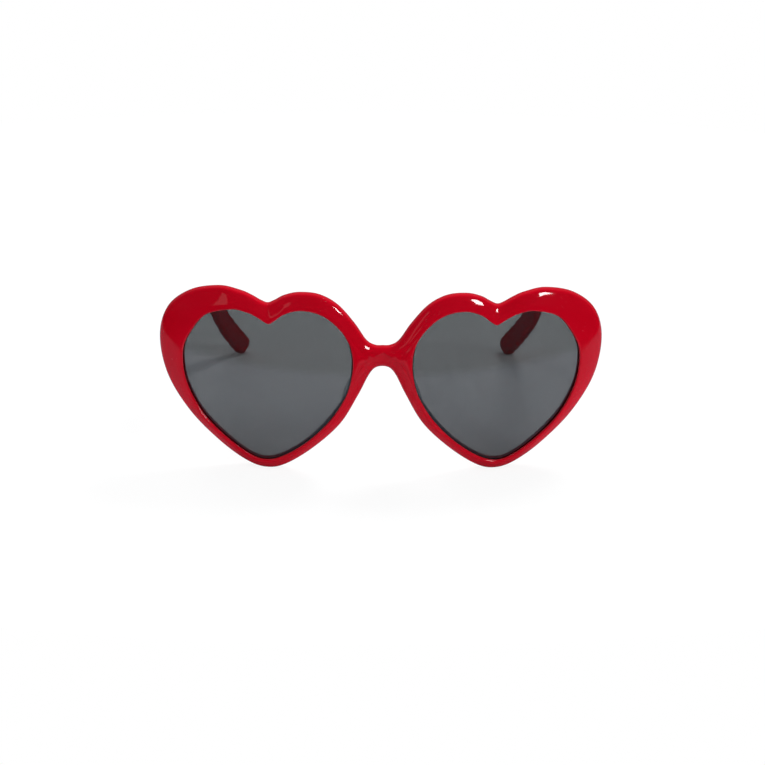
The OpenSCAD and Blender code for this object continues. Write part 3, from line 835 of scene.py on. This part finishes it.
# %% Red plastic
deep_red, lighter_red, red_dust = (0.44, 0.0006, 0.008), (0.5, 0.0012, 0.012), (0.62, 0.3, 0.3)
red, tree, surface, where = finish("polished red plastic", IOR=1.49, Coat_Weight=0.1,
                                   Coat_Roughness=0.04)
wavy = place_effect(tree, wave, where, -600, -300, Scale=70.0)
touched = place_effect(tree, smudge, where, -600, 0, Scale=110.0, Amount=0.6)
specks = place_effect(tree, dust, where, -600, 300, Scale=1400.0, Size=0.07)
clean_red = blend_colours(tree, wavy.outputs["Height"], deep_red, lighter_red, -250, 200)
tree.links.new(blend_colours(tree, specks.outputs["Mask"], clean_red, red_dust, 50, 200),
               surface.inputs["Base Color"])
tree.links.new(spread_value(tree, touched.outputs["Mask"], 0.05, 0.12, -250, 0),
               surface.inputs["Roughness"])
raise_bump(tree, wavy.outputs["Height"], surface, 0.25, 0.04 * MM, -250, -300)
print(red.name, "has", len(tree.nodes), "nodes")

# %% Lens and pads
smoke_grey, lens_dust = (0.079, 0.084, 0.087), (0.4, 0.4, 0.4)
tint, tree, surface, where = finish("grey tinted lens", IOR=1.5, Transmission_Weight=1.0,
                                    Coat_Weight=1.0, Coat_Roughness=0.0)
touched = place_effect(tree, smudge, where, -600, 0, Scale=60.0, Amount=0.5)
specks = place_effect(tree, dust, where, -600, 300, Scale=1100.0, Size=0.05)
tree.links.new(blend_colours(tree, specks.outputs["Mask"], smoke_grey, lens_dust, -250, 200),
               surface.inputs["Base Color"])
tree.links.new(spread_value(tree, touched.outputs["Mask"], 0.0, 0.035, -250, 0),
               surface.inputs["Roughness"])

milky, touched_milky = (0.86, 0.9, 0.89), (0.72, 0.76, 0.74)
clear, tree, surface, where = finish("clear soft plastic", IOR=1.4, Transmission_Weight=0.75)
touched = place_effect(tree, smudge, where, -600, 0, Scale=120.0, Amount=0.5)
wavy = place_effect(tree, wave, where, -600, -300, Scale=120.0)
tree.links.new(blend_colours(tree, touched.outputs["Mask"], milky, touched_milky, -250, 200),
               surface.inputs["Base Color"])
tree.links.new(spread_value(tree, touched.outputs["Mask"], 0.2, 0.3, -250, 0),
               surface.inputs["Roughness"])
raise_bump(tree, wavy.outputs["Height"], surface, 0.1, 0.05 * MM, -250, -300)
print(clear.name, "has", len(tree.nodes), "nodes")

# %% Metals


def metal(name, colour, worn, smooth, rough, grain):
    """Metal with fine upright grain, darker and rougher where it has been handled."""
    material, tree, surface, where = finish(name, Metallic=1.0)
    stretch = add(tree, "ShaderNodeMapping", -750, -300, Scale=grain)
    lines = add(tree, "ShaderNodeTexNoise", -550, -300, Scale=1500.0, Detail=3.0)
    touched = place_effect(tree, smudge, where, -600, 0, Scale=500.0, Amount=1.0)
    tree.links.new(where.outputs["Object"], stretch.inputs["Vector"])
    tree.links.new(stretch.outputs["Vector"], lines.inputs["Vector"])
    tree.links.new(blend_colours(tree, touched.outputs["Mask"], colour, worn, -250, 200),
                   surface.inputs["Base Color"])
    tree.links.new(spread_value(tree, lines.outputs["Fac"], smooth, rough, -250, 0),
                   surface.inputs["Roughness"])
    raise_bump(tree, lines.outputs["Fac"], surface, 0.3, 0.01 * MM, -250, -300)
    return material


satin = metal("satin hinge metal", (0.66, 0.64, 0.6), (0.5, 0.48, 0.45), 0.22, 0.42, (1, 1, 0.08))
bright = metal("bright screw metal", (0.8, 0.79, 0.77), (0.62, 0.6, 0.58), 0.1, 0.25, (1, 1, 1))

# %% Give every piece its finish
for material, pieces, nodes in (
        (red, [front_piece, *arms], ["front_frame", "temple_left", "temple_right"]),
        (tint, lenses, ["lens_left", "lens_right"]),
        (clear, pads, ["nose_pad_left", "nose_pad_right"]),
        (satin, leaves, ["front_hinge_left", "front_hinge_right", "temple_hinge_left",
                         "temple_hinge_right"]),
        (bright, screws, ["hinge_screw_left", "hinge_screw_right"])):
    for piece in pieces:
        piece.data.materials.clear()
        piece.data.materials.append(material)
    for node in nodes:
        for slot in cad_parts[node].material_slots:
            slot.material = material
print("finishes:", [m.name for m in bpy.data.materials])

# %% [markdown]
# ## The table
# The photo is a plain product shot, white all round, with soft grey shadows seen through the
# lenses. More light could make a table white, but it would wash out the red. So a share of the
# table glows for the camera, and only the rest takes the shadow. Through glass it shows its true
# shade with a faint glow, and there the shadows of the arms' tips appear, as in the photo.
#
# The plastic also mirrors what stands round it. The real table ended a hand's width in front of
# the glasses, with a darker room beyond, so a short table lies on a wide floor that only the
# camera sees white. Each has a colour of its own for mirror rays, which darkens at the edge. Cycles
# counts a ray that has passed through glass as glossy too, so those rays are taken off.

# %% The table's colours
edge_fade, dark = 20 * MM, (0.004,) * 3


def mirrored_shade(tree, radius, cent, colour):
    """The colour that mirror rays see: even, and darkening at the edge of the surface."""
    where = add(tree, "ShaderNodeTexCoord", -1100, -250)
    reach = add(tree, "ShaderNodeVectorMath", -900, -250, {"operation": "DISTANCE"})
    reach.inputs[1].default_value = cent
    fade = add(tree, "ShaderNodeMapRange", -700, -250, {"interpolation_type": "SMOOTHSTEP"},
               From_Min=radius - edge_fade, From_Max=radius)
    tree.links.new(where.outputs["Object"], reach.inputs[0])
    tree.links.new(reach.outputs["Value"], fade.inputs["Value"])
    return blend_colours(tree, fade.outputs["Result"], colour, dark, -500, -250)


def mix_shaders(tree, mask, first, second, x, y):
    """Mixes the shaders of two nodes by a mask."""
    mix = add(tree, "ShaderNodeMixShader", x, y)
    tree.links.new(mask, mix.inputs["Fac"])
    tree.links.new(first.outputs[0], mix.inputs[1])
    tree.links.new(second.outputs[0], mix.inputs[2])
    return mix


def white_material(name, radius, cent, colour, mirrored_colour, glow_share, glow_behind):
    """Matt paint that glows for the camera by a share, and through glass by a strength."""
    material = bpy.data.materials.new(name)
    material.use_nodes = True
    tree = material.node_tree
    tree.nodes.clear()
    ray = add(tree, "ShaderNodeLightPath", -700, 200)
    glowing = add(tree, "ShaderNodeMath", -450, 200, {"operation": "MULTIPLY"})
    glowing.inputs[1].default_value = glow_share
    mirror = add(tree, "ShaderNodeMath", -500, -50, {"operation": "SUBTRACT", "use_clamp": True})
    matt = add(tree, "ShaderNodeBsdfDiffuse", -50, 0)
    glow = add(tree, "ShaderNodeEmission", -50, -150, Strength=1.0)
    through = add(tree, "ShaderNodeEmission", -50, -300, Strength=glow_behind)
    both = add(tree, "ShaderNodeAddShader", 200, -150)
    output = add(tree, "ShaderNodeOutputMaterial", 600, 50)
    mirrored = mirrored_shade(tree, radius, cent, mirrored_colour)
    tree.links.new(ray.outputs["Is Glossy Ray"], mirror.inputs[0])
    tree.links.new(ray.outputs["Is Transmission Ray"], mirror.inputs[1])
    tree.links.new(blend_colours(tree, mirror.outputs[0], colour, mirrored, -300, -50),
                   matt.inputs["Color"])
    tree.links.new(ray.outputs["Is Camera Ray"], glowing.inputs[0])
    tree.links.new(matt.outputs[0], both.inputs[0])
    tree.links.new(through.outputs[0], both.inputs[1])
    either = mix_shaders(tree, glowing.outputs[0], matt, glow, 200, 50)
    behind = mix_shaders(tree, ray.outputs["Is Transmission Ray"], either, both, 400, 50)
    tree.links.new(behind.outputs[0], output.inputs["Surface"])
    return material


# %% Table and floor
table_front, table_r, table_colour = -178 * MM, 0.55, (0.9,) * 3
floor_r, floor_z, floor_colour = 6, -2 * MM, (0.1,) * 3
table_mirrored, table_glow, table_glow_behind = (0.15, 0.165, 0.21), 0.88, 0.1


def white_surface(name, radius, cent, *looks):
    """A round flat surface of the set, with its white material."""
    flat = bmesh.new()
    bmesh.ops.create_circle(flat, cap_ends=True, segments=180, radius=radius)
    bmesh.ops.translate(flat, vec=cent, verts=flat.verts)
    piece = finished(flat, name)
    piece.data.materials.append(white_material(name, radius, cent, *looks))


white_surface("table", table_r, (0, table_front + table_r, 0), table_colour, table_mirrored,
              table_glow, table_glow_behind)
white_surface("floor", floor_r, (0, 0, floor_z), floor_colour, dark, 1.0, 1.0)
print("table:", round(2 * table_r, 2), "m across, floor:", 2 * floor_r, "m across")

# %% [markdown]
# ## The room and the lamps
# A picture of a room could light the glasses, but a few plain colours are enough. The room lights
# them evenly, is white for the camera and through glass, and is dim in the mirror of the plastic,
# with a paler wall behind. One window gives the sharp highlights, a dim tall doorway the patch on
# the left outer lobe, and two small lights from behind the soft shadows straight below the tips.
# Each highlight tells the turn and the height of its lamp.

# %% The room
room_light, white, wall_start, wall_end = 0.68, 1.0, 0.1, 0.6
dim_front, pale_back = 0.015, 0.12
world = bpy.data.worlds.new("studio")
bpy.context.scene.world = world
world.use_nodes = True
tree = world.node_tree
tree.nodes.clear()
ray = add(tree, "ShaderNodeLightPath", -700, 200)
room = add(tree, "ShaderNodeBackground", -400, 0, Color=(0.95, 0.98, 1, 1), Strength=room_light)
dim = add(tree, "ShaderNodeBackground", -400, -150, Color=(0.9, 0.95, 1, 1), Strength=dim_front)
backdrop = add(tree, "ShaderNodeBackground", -400, -300, Color=(1, 1, 1, 1), Strength=white)
pale = add(tree, "ShaderNodeBackground", -400, -450, Color=(0.95, 0.85, 1, 1), Strength=pale_back)
towards = add(tree, "ShaderNodeTexCoord", -1200, -300)
axes = add(tree, "ShaderNodeSeparateXYZ", -1000, -300)
backward = add(tree, "ShaderNodeMapRange", -800, -300, {"interpolation_type": "SMOOTHSTEP"},
               From_Min=wall_start, From_Max=wall_end)
tree.links.new(towards.outputs["Generated"], axes.inputs[0])
tree.links.new(axes.outputs["Y"], backward.inputs["Value"])
walls = mix_shaders(tree, backward.outputs["Result"], dim, pale, -200, -300)
seen = add(tree, "ShaderNodeMath", -400, 200, {"operation": "MAXIMUM"})
tree.links.new(ray.outputs["Is Camera Ray"], seen.inputs[0])
tree.links.new(ray.outputs["Is Transmission Ray"], seen.inputs[1])
mirrored_room = mix_shaders(tree, ray.outputs["Is Glossy Ray"], room, walls, -100, 0)
shown_room = mix_shaders(tree, seen.outputs[0], mirrored_room, backdrop, 100, 50)
world_out = add(tree, "ShaderNodeOutputWorld", 300, 50)
tree.links.new(shown_room.outputs[0], world_out.inputs["Surface"])
print("room:", len(tree.nodes), "nodes")

# %% The lamps


def softbox(name, turn, height, distance, size, power, mirrored_too):
    """An area lamp round the glasses, its turn counted from straight in front towards +X."""
    a, h = radians(turn), radians(height)
    place = focus + distance * Vector((sin(a) * cos(h), -cos(a) * cos(h), sin(h)))
    lamp = bpy.data.lights.new(name, "AREA")
    lamp.shape, (lamp.size, lamp.size_y), lamp.energy = "RECTANGLE", size, power
    piece = bpy.data.objects.new(name, lamp)
    piece.matrix_world = aim(place, focus, 0)
    piece.visible_glossy = mirrored_too
    bpy.context.scene.collection.objects.link(piece)


softbox("window light", 46.5, 34.5, 2.5, (0.5, 0.6), 22.0, True)
softbox("doorway", -39, 14, 2.5, (0.24, 1.5), 0.5, True)
softbox("back light right", 144, 50, 1.0, (0.32, 0.32), 7.0, False)
softbox("back light left", -144, 50, 1.0, (0.35, 0.35), 2.4, False)
